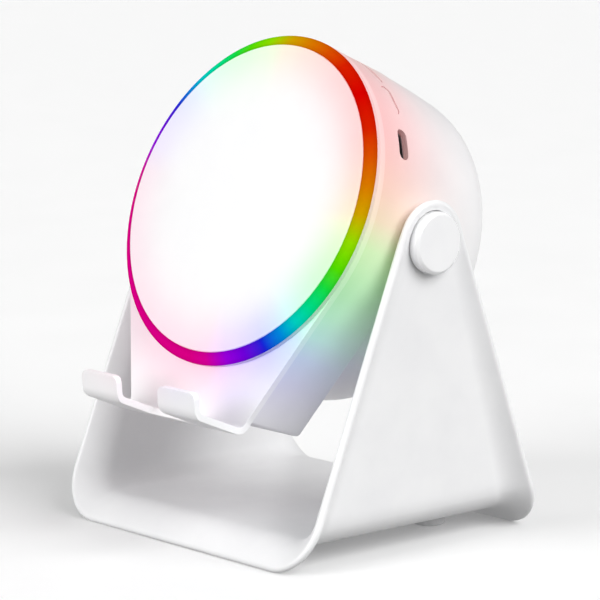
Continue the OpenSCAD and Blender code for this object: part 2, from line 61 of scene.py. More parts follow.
# %% Hinge and head axes
MM = 0.001
head_joint = next(joint for joint in frame["joints"] if joint["name"] == "head_tilt")
tilt = np.radians(-head_joint["range_deg"][0])
hinge = np.array(head_joint["pos_m"])
along_u = np.array([1.0, 0.0, 0.0])
along_v = np.array([0.0, np.sin(tilt), np.cos(tilt)])
along_w = np.array([0.0, -np.cos(tilt), np.sin(tilt)])
print("tilt", round(float(np.degrees(tilt)), 2), "hinge", hinge)


def in_head(local):
    """Row-frame points, in metres, of head points (u, v, w) in millimetres: the hinge plus
    u, v and w along their own directions."""
    local = np.asarray(local, float)
    return hinge + MM * (local[..., 0:1] * along_u + local[..., 1:2] * along_v
                         + local[..., 2:3] * along_w)


def in_stand(local):
    """Row-frame points, in metres, of stand points in millimetres, which are measured from
    the spot on the table under the hinge."""
    return np.asarray(local, float) * MM + np.array([0.0, hinge[1], 0.0])


def node_box(node, axes):
    """Lowest and highest corners of a CAD node, in millimetres, along three directions
    from the hinge: each vertex's offset from the hinge, dotted with each direction."""
    data = frame["nodes"][node].data
    points = np.zeros(len(data.vertices) * 3)
    data.vertices.foreach_get("co", points)
    offset = (points.reshape(-1, 3) - hinge) @ np.array(axes).T / MM
    return offset.min(0), offset.max(0)


HEAD = (along_u, along_v, along_w)
STAND = np.eye(3)

# %% [markdown]
# ## The camera
#
# The hub is seen from its front right and a little above, from about 0.8 m, so its upright
# lines stay nearly parallel.  A long lens gives that.  The camera's three axes are worked
# out from the direction it looks along, and rolled by half a degree.

# %% Camera
AZIMUTH, ELEVATION, ROLL = np.radians([47.31, 8.81, 0.5])
CAMERA_DISTANCE = 0.82048
AIM_BELOW_HINGE = 0.02277
AIM_SIDEWAYS = -0.00074
SENSOR_MM, LENS_MM = 36, 166.4


def place_camera():
    """Puts the camera at its distance along the backward direction from the aim point, with
    right and up turned about that direction by the roll."""
    back = np.array([np.sin(AZIMUTH) * np.cos(ELEVATION),
                     -np.cos(AZIMUTH) * np.cos(ELEVATION), np.sin(ELEVATION)])
    right = np.array([np.cos(AZIMUTH), np.sin(AZIMUTH), 0.0])
    up = np.cross(back, right)
    aim = hinge - np.array([0.0, 0.0, AIM_BELOW_HINGE]) + AIM_SIDEWAYS * right
    turned_right = right * np.cos(ROLL) + up * np.sin(ROLL)
    turned_up = up * np.cos(ROLL) - right * np.sin(ROLL)
    data = bpy.data.cameras.new("product_camera")
    data.sensor_width = SENSOR_MM
    data.lens = LENS_MM
    data.clip_start, data.clip_end = 0.05, 20
    camera = bpy.data.objects.new("product_camera", data)
    bpy.context.scene.collection.objects.link(camera)
    pose = np.eye(4)
    pose[:3] = np.stack([turned_right, turned_up, back, aim + CAMERA_DISTANCE * back], axis=1)
    camera.matrix_world = Matrix(pose.tolist())
    bpy.context.scene.camera = camera
    return camera


camera = place_camera()
print("camera at", [round(x, 4) for x in camera.matrix_world.translation])

# %% [markdown]
# ## Making surfaces
#
# Every new shell starts as a grid of points.  Most are a profile carried round an axis, and
# a profile is a few corners, each rounded by its own arc.  The grids of one piece are joined
# and points that coincide are welded, which closes the seams and the poles.  Then the faces
# are turned outwards.

# %% Grid helpers


def rounded(corners, radii, steps=6):
    """A closed outline with each corner replaced by an arc that touches both its sides: the
    arc starts a distance r / tan(half the corner) away, and its centre lies r / sin(half the
    corner) along the corner's middle line.  Radius 0 keeps the corner."""
    corner = np.asarray(corners, float)
    radius = np.broadcast_to(np.asarray(radii, float), len(corner))[:, None]
    back = np.roll(corner, 1, 0) - corner
    ahead = np.roll(corner, -1, 0) - corner
    back /= np.linalg.norm(back, axis=1, keepdims=True)
    ahead /= np.linalg.norm(ahead, axis=1, keepdims=True)
    half = np.arccos(np.clip((back * ahead).sum(1, keepdims=True), -1, 1)) / 2
    middle = (back + ahead) / np.linalg.norm(back + ahead, axis=1, keepdims=True)
    centre = corner + middle * radius / np.sin(half)
    start = corner + back * radius / np.tan(half) - centre
    end = corner + ahead * radius / np.tan(half) - centre
    sweep = np.pi - 2 * half
    t = np.linspace(0, 1, steps + 1)[None, :, None]
    sweep = sweep[:, :, None]
    arc = (np.sin((1 - t) * sweep) * start[:, None] + np.sin(t * sweep) * end[:, None])
    return (centre[:, None] + arc / np.sin(sweep)).reshape(-1, 2)


def revolved(profile, turns=192):
    """A profile of (radius, height) carried round the third axis: each point goes to
    (radius sin a, radius cos a, height) at equal angles a."""
    angle = np.linspace(0, 2 * np.pi, turns, endpoint=False)[:, None]
    radius, height = np.asarray(profile, float).T
    return np.stack([radius * np.sin(angle), radius * np.cos(angle),
                     np.broadcast_to(height, (turns, len(height)))], axis=-1)


def grid_quads(rows, columns, wrap_rows, wrap_columns):
    """The four corner numbers of each cell of a grid that is numbered row by row.  A wrapped
    direction also joins its last line to its first."""
    i, j = np.meshgrid(np.arange(rows if wrap_rows else rows - 1),
                       np.arange(columns if wrap_columns else columns - 1), indexing="ij")
    i_next, j_next = (i + 1) % rows, (j + 1) % columns
    corners = [i * columns + j, i_next * columns + j, i_next * columns + j_next,
               i * columns + j_next]
    return np.stack(corners, axis=-1).reshape(-1, 4)


def mesh_from_grids(name, grids):
    """Joins (points, wrap rows, wrap columns) grids into one welded mesh, faces outwards."""
    points, quads, count = [], [], 0
    for grid, wrap_rows, wrap_columns in grids:
        rows, columns = grid.shape[:2]
        points.append(grid.reshape(-1, 3))
        quads.append(grid_quads(rows, columns, wrap_rows, wrap_columns) + count)
        count += rows * columns
    points, quads = np.concatenate(points), np.concatenate(quads)
    mesh = bpy.data.meshes.new(name)
    mesh.vertices.add(len(points))
    mesh.vertices.foreach_set("co", points.ravel())
    mesh.loops.add(quads.size)
    mesh.loops.foreach_set("vertex_index", quads.ravel())
    mesh.polygons.add(len(quads))
    mesh.polygons.foreach_set("loop_start", np.arange(0, quads.size, 4))
    mesh.update(calc_edges=True)
    clean(mesh)
    return mesh


def clean(mesh, gap=1.5e-6):
    """Welds points closer than the gap, drops faces that collapsed and turns the rest out."""
    work = bmesh.new()
    work.from_mesh(mesh)
    bmesh.ops.remove_doubles(work, verts=work.verts, dist=gap)
    bmesh.ops.dissolve_degenerate(work, edges=work.edges, dist=1e-8)
    bmesh.ops.recalc_face_normals(work, faces=work.faces)
    work.to_mesh(mesh)
    work.free()
    mesh.validate()


def add_object(name, mesh):
    """Links a mesh to the scene as an object at the origin."""
    made = bpy.data.objects.new(name, mesh)
    bpy.context.scene.collection.objects.link(made)
    return made


def build(name, grids):
    """An object whose mesh is the grids, joined and welded."""
    return add_object(name, mesh_from_grids(name, grids))


def settle(made):
    """Applies an object's modifiers, so that the next step works on the finished mesh."""
    graph = bpy.context.evaluated_depsgraph_get()
    finished = bpy.data.meshes.new_from_object(made.evaluated_get(graph))
    made.modifiers.clear()
    made.data = finished
    return made


def combine(made, operation, tools):
    """Cuts tools out of a piece, or joins them to it, with exact solid operations, then
    removes the tools."""
    for tool in tools:
        step = made.modifiers.new(operation.lower(), "BOOLEAN")
        step.operation = operation
        step.solver = "EXACT"
        step.object = tool
    bpy.context.view_layer.update()
    settle(made)
    for tool in tools:
        bpy.data.objects.remove(tool)
    clean(made.data, 5e-7)
    return made


def soften(made, width, angle=35, segments=2):
    """Rounds a piece's sharp edges by a small bevel, as a mould does."""
    bevel = made.modifiers.new("soft_edges", "BEVEL")
    bevel.width = width * MM
    bevel.segments = segments
    bevel.limit_method = "ANGLE"
    bevel.angle_limit = np.radians(angle)
    bevel.harden_normals = False
    return made


def finish_piece(made, body, material, nodes=(), sharp=32):
    """Shades a piece smooth except across real edges, gives it its finish, hangs it on its
    body and hides the CAD nodes that it stands for."""
    made.data.materials.clear()
    made.data.materials.append(material)
    made.data.shade_smooth()
    made.data.set_sharp_from_angle(angle=np.radians(sharp))
    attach(made, body)
    if nodes:
        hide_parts(*nodes)
    corners = np.array(made.bound_box)
    size = np.round((corners.max(0) - corners.min(0)) / MM, 1)
    print(f"{made.name}: {len(made.data.polygons)} faces, {size} mm")
    return made


# %% [markdown]
# ## Plastic finishes
#
# The shells are one satin white plastic.  A mould leaves a very fine spark-eroded grain,
# which breaks up a highlight without being seen as bumps, and slow changes in gloss where
# the plastic flowed.  Both are noise on Object coordinates, so they keep their true scale,
# about a quarter of a millimetre for the grain.

# %% Node helpers


def new_material(name):
    """An empty node material with a Principled shader, and what is needed to add to it."""
    material = bpy.data.materials.new(name)
    material.use_nodes = True
    tree = material.node_tree
    return material, tree, tree.nodes["Principled BSDF"]


def node(tree, kind, inputs=None, **settings):
    """Adds a node; inputs are values, or the output sockets that feed it."""
    made = tree.nodes.new(kind)
    for key, value in settings.items():
        setattr(made, key, value)
    for key, value in (inputs or {}).items():
        if isinstance(value, bpy.types.NodeSocket):
            tree.links.new(value, made.inputs[key])
        else:
            made.inputs[key].default_value = value
    return made


def math(tree, operation, *values):
    """One Math node's result."""
    made = node(tree, "ShaderNodeMath", dict(enumerate(values)), operation=operation)
    return made.outputs[0]


def own_place(tree):
    """Object coordinates, in metres."""
    return node(tree, "ShaderNodeTexCoord").outputs["Object"]


def noise(tree, where, size_mm, detail=2.0, roughness=0.5):
    """Noise whose features are about size_mm across."""
    return node(tree, "ShaderNodeTexNoise",
                {"Vector": where, "Scale": 1 / (size_mm * MM), "Detail": detail,
                 "Roughness": roughness}).outputs["Fac"]


def between(tree, factor, low, high):
    """Moves a 0..1 factor to the range low..high."""
    return node(tree, "ShaderNodeMapRange",
                {"Value": factor, "To Min": low, "To Max": high}).outputs["Result"]


def tinted(tree, factor, dark, light):
    """A colour between two colours, by a factor."""
    ramp = node(tree, "ShaderNodeValToRGB", {"Fac": factor})
    ramp.color_ramp.elements[0].position = 0.3
    ramp.color_ramp.elements[1].position = 0.7
    ramp.color_ramp.elements[0].color = (*dark, 1)
    ramp.color_ramp.elements[1].color = (*light, 1)
    return ramp.outputs["Color"]


def coated(tree, shader, colour, roughness):
    """Feeds a colour and a roughness pattern into the shader."""
    tree.links.new(colour, shader.inputs["Base Color"])
    tree.links.new(roughness, shader.inputs["Roughness"])


def bumped(tree, shader, height, depth_mm, strength=1.0):
    """Lets a height pattern tilt the surface, as if it stood depth_mm high."""
    bump = node(tree, "ShaderNodeBump",
                {"Height": height, "Distance": depth_mm * MM, "Strength": strength})
    tree.links.new(bump.outputs["Normal"], shader.inputs["Normal"])


def moulded_plastic(name, dark, light, gloss, grain_mm, depth_mm, coat=0.0):
    """Moulded plastic: slow changes of shade and gloss, and a fine even grain."""
    material, tree, shader = new_material(name)
    where = own_place(tree)
    flow = noise(tree, where, 14, 3)
    mottle = noise(tree, where, 1.8, 4, 0.6)
    rough = between(tree, math(tree, "ADD", math(tree, "MULTIPLY", flow, 0.5),
                               math(tree, "MULTIPLY", mottle, 0.5)),
                    gloss - 0.06, gloss + 0.06)
    coated(tree, shader, tinted(tree, flow, dark, light), rough)
    bumped(tree, shader, noise(tree, where, grain_mm, 3, 0.55), depth_mm)
    shader.inputs["IOR"].default_value = 1.5
    shader.inputs["Coat Weight"].default_value = coat
    shader.inputs["Coat Roughness"].default_value = 0.08
    return material


# %% [markdown]
# ## The light and its colours
#
# A ring of coloured diodes sits behind a frosted diffuser.  The colours run once round the
# ring and back: red at the upper right, then amber, green, cyan and blue on both sides, and
# a long magenta stretch at the lower left.  So colour depends only on the angle away from
# the red end, and a colour ramp over that angle gives it.  The ramp is read in head axes,
# through a Mapping node that undoes the head's tilt.

# %% Ring colours
RING_POWER = 0.72
RED_END = np.radians(45)  # from the top of the face towards +u
RAINBOW = ((0, (0.96, 0.0, 0.0)), (15, (0.96, 0.02, 0.0)), (25, (0.97, 0.11, 0.0)),
           (35, (0.96, 0.26, 0.0)), (45, (0.88, 0.49, 0.0)), (55, (0.39, 0.98, 0.0)),
           (65, (0.11, 0.98, 0.0)), (72, (0.01, 0.98, 0.06)), (80, (0.0, 0.98, 0.31)),
           (88, (0.0, 0.85, 0.72)), (95, (0.0, 0.34, 0.99)), (103, (0.01, 0.02, 0.96)),
           (112, (0.22, 0.0, 0.98)), (120, (0.42, 0.0, 0.98)), (130, (0.92, 0.0, 0.42)),
           (138, (0.96, 0.0, 0.32)))


def head_place(tree):
    """Coordinates in head axes, in metres: Object coordinates moved to the hinge and turned
    back by the tilt."""
    where = own_place(tree)
    turned = node(tree, "ShaderNodeMapping",
                  {"Vector": where, "Location": tuple(hinge),
                   "Rotation": (np.pi / 2 - tilt, 0, 0)}, vector_type="TEXTURE")
    return list(node(tree, "ShaderNodeSeparateXYZ", {"Vector": turned.outputs[0]}).outputs)[:3]


def from_axis(tree, u, v):
    """Distance from the face's axis: the root of u squared plus v squared."""
    return math(tree, "SQRT", math(tree, "ADD", math(tree, "MULTIPLY", u, u),
                                   math(tree, "MULTIPLY", v, v)))


def ring_colour(tree, u, v):
    """The ring's colour at the angle of (u, v): the arc cosine of the dot product with the
    direction of the red end, as a share of half a turn."""
    size = from_axis(tree, u, v)
    dot = math(tree, "ADD", math(tree, "MULTIPLY", u, float(np.sin(RED_END))),
               math(tree, "MULTIPLY", v, float(np.cos(RED_END))))
    away = math(tree, "ARCCOSINE", math(tree, "DIVIDE", dot, size))
    share = math(tree, "DIVIDE", away, float(np.pi))
    ramp = node(tree, "ShaderNodeValToRGB", {"Fac": share})
    stops = ramp.color_ramp.elements
    while len(stops) < len(RAINBOW):
        stops.new(0.5)
    for stop, (degrees, colour) in zip(stops, RAINBOW):
        stop.position = degrees / 180
        stop.color = (*colour, 1)
    return ramp.outputs["Color"], size


def painted_ring_light(material, painted_share, centre_mm, reach_mm, depth_mm=None):
    """Paints the ring's light onto a white part as painted coloured light.  Its colour is
    multiplied into the white by the painted share, with a fifth of that as emission, and both
    fade with the distance from the ring as exp(-(distance / reach) squared).  The painted light
    is stronger towards +u, where the diodes are brightest."""
    tree = material.node_tree
    shader = tree.nodes["Principled BSDF"]
    u, v, w = head_place(tree)
    colour, radius = ring_colour(tree, u, v)
    away = math(tree, "DIVIDE", math(tree, "SUBTRACT", radius, centre_mm * MM), reach_mm * MM)
    power = math(tree, "MULTIPLY", away, away)
    if depth_mm:
        back = math(tree, "DIVIDE", math(tree, "SUBTRACT", w, ring_edge_w * MM),
                    depth_mm * MM)
        power = math(tree, "ADD", power, math(tree, "MULTIPLY", back, back))
    fade = math(tree, "EXPONENT", math(tree, "MULTIPLY", power, -1.0))
    white = shader.inputs["Base Color"].links[0].from_socket
    side = math(tree, "ADD", math(tree, "MULTIPLY", math(tree, "DIVIDE", u, radius), 0.45), 1.0)
    share = math(tree, "MULTIPLY", math(tree, "MULTIPLY", fade, side), painted_share)
    # painted ring light: the ring's colour multiplied into the base colour and added as emission
    painted_wash = node(tree, "ShaderNodeMix", {0: share, 6: white, 7: colour}, data_type="RGBA",
                  blend_type="MULTIPLY")
    tree.links.new(painted_wash.outputs[2], shader.inputs["Base Color"])
    tree.links.new(colour, shader.inputs["Emission Color"])
    tree.links.new(math(tree, "MULTIPLY", share, 0.2), shader.inputs["Emission Strength"])
    return material


def lit_diffuser():
    """Frosted ring, lit from inside: the rainbow as emission, a little dimmer at its edges.
    Its side wall is masked white and gets no emission, so light leaves only through the sloping
    front; the ring's colour is painted into that white at 0.38 as a painted glow."""
    material, tree, shader = new_material("lit_diffuser")
    u, v, w = head_place(tree)
    colour, radius = ring_colour(tree, u, v)
    tree.links.new(colour, shader.inputs["Emission Color"])
    front = math(tree, "GREATER_THAN", w, (ring_edge_w - 0.15) * MM)
    # painted glow on the side wall: the ring's colour multiplied into its white
    painted_side_glow = node(tree, "ShaderNodeMix", {0: 0.38, 6: (0.86, 0.86, 0.87, 1), 7: colour},
                  data_type="RGBA", blend_type="MULTIPLY")
    base = node(tree, "ShaderNodeMix", {0: front, 6: painted_side_glow.outputs[2], 7: (0, 0, 0, 1)},
                data_type="RGBA")
    tree.links.new(base.outputs[2], shader.inputs["Base Color"])
    where = own_place(tree)
    frost = between(tree, noise(tree, where, 0.8, 3), 0.92, 1.06)
    across = math(tree, "DIVIDE", math(tree, "SUBTRACT", radius, ring_mid_r * MM),
                  ring_half_w * MM)
    edge = math(tree, "SUBTRACT", 1.0, math(tree, "MULTIPLY", 0.18,
                                            math(tree, "MULTIPLY", across, across)))
    level = math(tree, "MULTIPLY", math(tree, "MULTIPLY", frost, edge), RING_POWER)
    tree.links.new(math(tree, "MULTIPLY", level, front), shader.inputs["Emission Strength"])
    shader.inputs["Roughness"].default_value = 0.4
    shader.inputs["Specular IOR Level"].default_value = 0.0
    return material


ring_low, ring_high = node_box("light_ring", HEAD)
face_low, face_high = node_box("face_disc", HEAD)
head_r = ring_high[0]
face_r = face_high[0]
face_w = face_high[2]
ring_in_r = face_r + 0.1
ring_edge_w = 23.9
ring_mid_r = (head_r + ring_in_r) / 2
ring_half_w = (head_r - ring_in_r) / 2
print("ring from", round(ring_in_r, 2), "to", round(head_r, 2), "mm")

# %% White finishes
stand_white = moulded_plastic("stand_white", (0.86, 0.86, 0.87), (0.90, 0.90, 0.905),
                              0.34, 0.28, 0.004)
# body, plate and face carry painted ring light: the ring's colours painted into the white near
# the ring
body_white = painted_ring_light(moulded_plastic("body_white", (0.83, 0.83, 0.84), (0.87, 0.87, 0.875),
                                  0.36, 0.28, 0.004), 0.29, 50, 12, 24)
plate_white = painted_ring_light(moulded_plastic("plate_white", (0.91, 0.91, 0.915), (0.94, 0.94, 0.945),
                                   0.33, 0.28, 0.003), 0.24, 50, 11)
face_white = painted_ring_light(moulded_plastic("face_white", (0.93, 0.93, 0.935), (0.96, 0.96, 0.962),
                                  0.42, 0.22, 0.002), 0.25, 47, 10.5)
cap_white = moulded_plastic("cap_white", (0.88, 0.88, 0.89), (0.92, 0.92, 0.925),
                            0.22, 0.4, 0.002, coat=0.4)
diffuser = lit_diffuser()
print("white finishes made")

# %% [markdown]
# ## The light ring
#
# The diffuser is a narrow conical band that rises from the plate's edge to the charging
# face, with a foot reaching down to the diodes.  It is a six-cornered profile carried round
# the face's axis, with its visible corners slightly rounded.

# %% Light ring
ring_foot_w = ring_low[2]
plate_w = ring_edge_w - 1.4
ring_profile = rounded(
    [(ring_in_r, ring_foot_w), (ring_in_r + 0.3, ring_foot_w), (ring_in_r + 0.3, plate_w),
     (head_r, plate_w), (head_r, ring_edge_w), (ring_in_r, face_w)],
    [0, 0, 0, 0.1, 0.35, 0.12])
ring = build("light_ring_diffuser", [(in_head(revolved(ring_profile, 256)), True, True)])
finish_piece(ring, "head", diffuser, ["light_ring"])

# %% [markdown]
# ## The charging face
#
# The face is a thin flat disc of smooth white plastic.  Its rim is rounded, so a fine line
# shows between it and the ring.

# %% Charging face
face_profile = rounded(
    [(0, face_low[2]), (face_r, face_low[2]), (face_r, face_w), (0, face_w)],
    [0, 0.15, 0.35, 0])
face = build("charging_face", [(in_head(revolved(face_profile, 256)), True, True)])
finish_piece(face, "head", face_white, ["face_disc"])

# %% [markdown]
# ## The front plate and phone ledge
#
# One sheet makes the flat ring round the face, the chin under it, the ledge and the two
# hooks.  The flat part is a fan of lines between the round opening and the outline.  The
# fan's lowest lines end in a row of points, and the ledge carries on from that same row:
# down round the bend, along the floor, and up the hooks.  So the whole is one surface, and
# Solidify gives it the sheet's thickness.

# %% Front plate
plate_t = 2.0
opening_r = 47.0
ledge_bend_r = 4.0
hook_bend_r = 4.0
hook_sweep = np.radians(64)
notch_half_w = 9.0
notch_corner_r = 1.0
hook_corner_r = 2.0
notch_rear_w = 28.0
hook_bend_w = 38.2
lip_len = 3.8
shell_w = plate_w - plate_t
plate_low, _ = node_box("front_plate", HEAD)
ledge_half_w = 25.0
ledge_bend_v = plate_low[1] + ledge_bend_r
chin_half_w, chin_drop = 24.4, 65.4
chin_angle = (np.arctan2(chin_half_w, chin_drop)
              + np.arccos(head_r / np.hypot(chin_half_w, chin_drop)))


def chin_half_width(radius, v):
    """Half the chin's width at height v: where the tangent to the circle of that radius, at
    the chin angle from straight down, crosses the height."""
    return (radius + v * np.cos(chin_angle)) / np.sin(chin_angle)


def row_across(side_count, middle_count, half_width):
    """Positions across the ledge, closer together near the edges and near the notch."""
    def eased(count):
        even = np.linspace(0, 1, count)
        return even / 2 + (1 - np.cos(np.pi * even)) / 4

    side = notch_half_w + (half_width - notch_half_w) * eased(side_count)
    middle = notch_half_w * (2 * eased(middle_count) - 1)
    return np.concatenate([-side[::-1], middle[1:-1], side])


def corner_rise(past, radius):
    """How far a round corner has risen where its arc is crossed at distance past from the
    corner's far side: r minus the root of r squared less (r - past) squared."""
    inside = np.clip(radius - past, 0, radius)
    return radius - np.sqrt(np.maximum(radius**2 - inside**2, 0))


def ledge_path(s):
    """Middle of the sheet at length s below the plate, as (v, w): a quarter bend, a straight
    floor, the bend up by hook_sweep and the straight lip."""
    first_r, second_r = ledge_bend_r - plate_t / 2, hook_bend_r - plate_t / 2
    bend_w = shell_w + ledge_bend_r
    first_end = first_r * np.pi / 2
    floor_end = first_end + hook_bend_w - bend_w
    second_end = floor_end + second_r * hook_sweep
    a = np.clip(s / first_r, 0, np.pi / 2)
    b = np.clip((s - floor_end) / second_r, 0, hook_sweep)
    floor = np.clip(s - first_end, 0, floor_end - first_end)
    lip = np.maximum(s - second_end, 0)
    v = (ledge_bend_v - first_r * np.sin(a) + second_r * (1 - np.cos(b))
         + lip * np.sin(hook_sweep))
    w = (bend_w - first_r * np.cos(a) + floor + second_r * np.sin(b)
         + lip * np.cos(hook_sweep))
    return np.stack([v, w], axis=-1), first_end, floor_end, second_end


def ledge_grid(across, start, end, rows):
    """Grid of the sheet between two lengths, each of which may change across the ledge.
    It narrows from the plate's width to the ledge's own in the first bend."""
    t = np.linspace(0, 1, rows)[:, None]
    s = start[None] * (1 - t) + end[None] * t
    path, first_end, _, _ = ledge_path(s)
    narrow = np.clip(s / first_end, 0, 1)
    scale = 1 - narrow * (1 - ledge_half_w / chin_half_width(head_r, ledge_bend_v))
    outer = np.clip((np.abs(across)[None] - notch_half_w)
                    / (np.abs(across).max() - notch_half_w), 0, 1)
    u = across[None] * (1 - outer * (1 - scale))
    return np.concatenate([u[..., None], path], axis=-1)


def fan_grid(across, rows):
    """The flat part: lines from the opening to the outline.  The outline is the circle, then
    the tangent sides of the chin, then the row of points where the ledge starts."""
    half = chin_half_width(head_r, ledge_bend_v)
    turn = np.linspace(chin_angle, 2 * np.pi - chin_angle, 200)
    circle = np.stack([head_r * np.sin(turn), -head_r * np.cos(turn)], -1)
    side = np.linspace(0, 1, 26)[1:-1, None]
    down = np.array([-half, ledge_bend_v]) * side + circle[-1] * (1 - side)
    up = circle[0] * side + np.array([half, ledge_bend_v]) * (1 - side)
    bottom = np.stack([across, np.full_like(across, ledge_bend_v)], -1)
    outline = np.concatenate([bottom, up, circle, down])
    angle = np.arctan2(outline[:, 0], outline[:, 1])
    opening = opening_r * np.stack([np.sin(angle), np.cos(angle)], -1)
    t = np.linspace(0, 1, rows)[:, None, None]
    flat = opening[None] * (1 - t) + outline[None] * t
    return np.concatenate([flat, np.full(flat.shape[:2] + (1,), plate_w - plate_t / 2)], -1)


def sheet_grids():
    """The fan, the floor behind the notch's rounded corners, and the two hooks."""
    across = row_across(26, 29, chin_half_width(head_r, ledge_bend_v))
    _, first_end, floor_end, second_end = ledge_path(np.array(0.0))
    notch_start = first_end + notch_rear_w - shell_w - ledge_bend_r
    behind = notch_start + corner_rise(np.maximum(notch_half_w - np.abs(across), 0),
                                       notch_corner_r)
    grids = [fan_grid(across, 5),
             ledge_grid(across, np.zeros_like(across), np.full_like(across, first_end), 12),
             ledge_grid(across, np.full_like(across, first_end), behind, 8)]
    half = across.max()
    for side in (-1, 1):
        own = across[side * across >= notch_half_w - 1e-6]
        scale = (ledge_half_w - notch_half_w) / (half - notch_half_w)
        inner = (np.abs(own) - notch_half_w) * scale
        outer = (half - np.abs(own)) * scale
        tip = second_end + lip_len + plate_t / 2
        tip = tip - corner_rise(inner, hook_corner_r) - corner_rise(outer, hook_corner_r)
        low = np.full_like(own, notch_start + notch_corner_r)
        grids += [ledge_grid(own, low, np.full_like(own, floor_end), 8),
                  ledge_grid(own, np.full_like(own, floor_end),
                             np.full_like(own, second_end), 10),
                  ledge_grid(own, np.full_like(own, second_end), tip, 8)]
    return [(in_head(g), False, k == 0) for k, g in enumerate(grids)]


plate = build("front_plate_and_ledge", sheet_grids())
thick = plate.modifiers.new("sheet", "SOLIDIFY")
thick.thickness = plate_t * MM
thick.offset = 0
thick.use_even_offset = True
settle(plate)
clean(plate.data)
soften(plate, 0.45, 50, 3)
finish_piece(plate, "head", plate_white, ["front_plate"], sharp=40)

# %% [markdown]
# ## The body shell
#
# Behind the plate the body is a can with a large rounding at its rear, joined to the chin's
# block under it.  One profile runs from the front edge to the rear opening for each angle
# round the body: along the chin or the can, round the chin's rear edge, down to the can,
# round its rear and in to the cover's opening.  The same profile, drawn a wall's thickness
# further in and walked back, makes the inside.

# %% Body shell
wall = 2.2
shell_low, shell_high = node_box("body_shell", HEAD)
can_r = shell_high[0]
rear_w = shell_low[2]
chin_bottom_front, chin_bottom_rear = -63.4, -62.0
chin_rear_w = 1.5
tail_r, rear_round = 48.3, 13.5
_, cover_high = node_box("rear_cover", HEAD)
cover_r = cover_high[0]
opening_rear_r = cover_r + 0.15


def can_radius(w):
    """Radius of the can at height w: constant in front, then narrowing by a power curve to
    the tail's radius where the rear rounding starts."""
    back = np.clip((chin_rear_w + 6 - w) / (chin_rear_w + 6 - rear_w - rear_round), 0, 1.2)
    return can_r - (can_r - tail_r) * back**1.6


def chin_radius(angle, bottom, inset):
    """Distance from the axis to the chin's outline at an angle from straight down: the
    smaller of the tangent side line and the bottom line, blended where they meet."""
    radius = can_r - inset
    side = radius / np.cos(np.clip(chin_angle - angle, 0, np.radians(80)))
    side = np.where(angle >= chin_angle, radius, side)
    base = (-bottom - inset) / np.maximum(np.cos(angle), 0.05)
    near = 1.2
    mix = np.clip(0.5 + (base - side) / (2 * near), 0, 1)
    return base * (1 - mix) + side * mix - near * mix * (1 - mix)


def shell_profiles(turn, inset):
    """Profiles (radius, w) of one skin for each angle from straight down, as a grid."""
    angle = np.abs((turn + np.pi) % (2 * np.pi) - np.pi)[:, None]
    front, rear_edge = shell_w, chin_rear_w + inset
    tall = chin_radius(angle, chin_bottom_rear, inset) - (can_radius(rear_edge) - inset)
    under = np.clip((np.arctan2(chin_half_w, chin_drop) + 0.05 - angle) / 0.1, 0, 1)
    edge = np.minimum(0.7 + 3.3 * under * under * (3 - 2 * under), np.maximum(tall, 0))
    edge = np.minimum(edge, 4.0)
    t = np.linspace(0, 1, 14)[None]
    w_side = front + (rear_edge + edge - front) * t
    bottom = chin_bottom_rear + (chin_bottom_front - chin_bottom_rear) * (
        (w_side - chin_rear_w) / (shell_w - chin_rear_w))
    r_side = chin_radius(angle, bottom, inset)
    a = np.linspace(0, np.pi / 2, 9)[None, 1:]
    end_r = chin_radius(angle, chin_bottom_rear, inset)
    w_edge = rear_edge + edge * (1 - np.sin(a))
    r_edge = end_r - edge * (1 - np.cos(a)) - (end_r - r_side[:, -1:]) * (1 - a * 2 / np.pi)
    r_back = np.broadcast_to(can_radius(rear_edge) - inset, end_r.shape)
    w_can = np.linspace(rear_edge, rear_w + rear_round, 14)[None, 1:]
    r_can = can_radius(w_can) - inset
    lean = np.arctan2(can_radius(rear_w + rear_round + 0.5)
                      - can_radius(rear_w + rear_round - 0.5), 1.0)
    b = np.linspace(lean, np.pi / 2, 18)[None, 1:]
    round_r = rear_round - inset
    w_tail = rear_w + inset + round_r - round_r * np.sin(b)
    r_tail = r_can[:, -1:] - round_r * (np.cos(lean) - np.cos(b))
    w_tail = w_tail + (w_can[:, -1:] - (rear_w + inset + round_r - round_r * np.sin(lean))) * (
        1 - (b - lean) / (np.pi / 2 - lean))
    ones = np.ones_like(end_r)
    radius = np.concatenate([r_side, r_edge, r_back, r_can * ones, r_tail * ones,
                             opening_rear_r * ones], axis=1)
    height = np.concatenate([w_side, w_edge, rear_edge * ones, w_can * ones, w_tail * ones,
                             (rear_w + inset) * ones], axis=1)
    return radius, height


def shell_grid():
    """Outer skin out and inner skin back, at evenly spaced angles with extra ones where the
    chin's sides and corners start."""
    corner = np.arctan2(chin_half_w, chin_drop)
    fine = np.concatenate([s * c + np.linspace(-0.06, 0.06, 9) for s in (-1, 1)
                           for c in (corner, chin_angle)])
    turn = np.unique(np.round(np.concatenate(
        [np.linspace(0, 2 * np.pi, 240, endpoint=False), fine % (2 * np.pi)]), 6))
    outer_r, outer_w = shell_profiles(turn, 0)
    inner_r, inner_w = shell_profiles(turn, wall)
    radius = np.concatenate([outer_r, inner_r[:, ::-1]], axis=1)
    height = np.concatenate([outer_w, inner_w[:, ::-1]], axis=1)
    turn = turn[:, None]
    return np.stack([radius * np.sin(turn), -radius * np.cos(turn), height], axis=-1)


shell = build("hub_body_shell", [(in_head(shell_grid()), True, True)])

# %% [markdown]
# The side port, the two buttons and the hinge flats are cut from the shell as solids, so
# their edges are true holes.  A cutter is a pill-shaped outline pushed along the line from
# the body's axis through the port's angle.

# %% Openings in the shell
side_port_angle = np.radians(61)
buttons = {"mode_button": (np.radians(25.8), 12.7), "power_button": (np.radians(42.2), 11.0)}
port_w = 12.2
button_w = 3.4
button_gap = 0.12
button_depth = 3.4
button_sink = 0.15


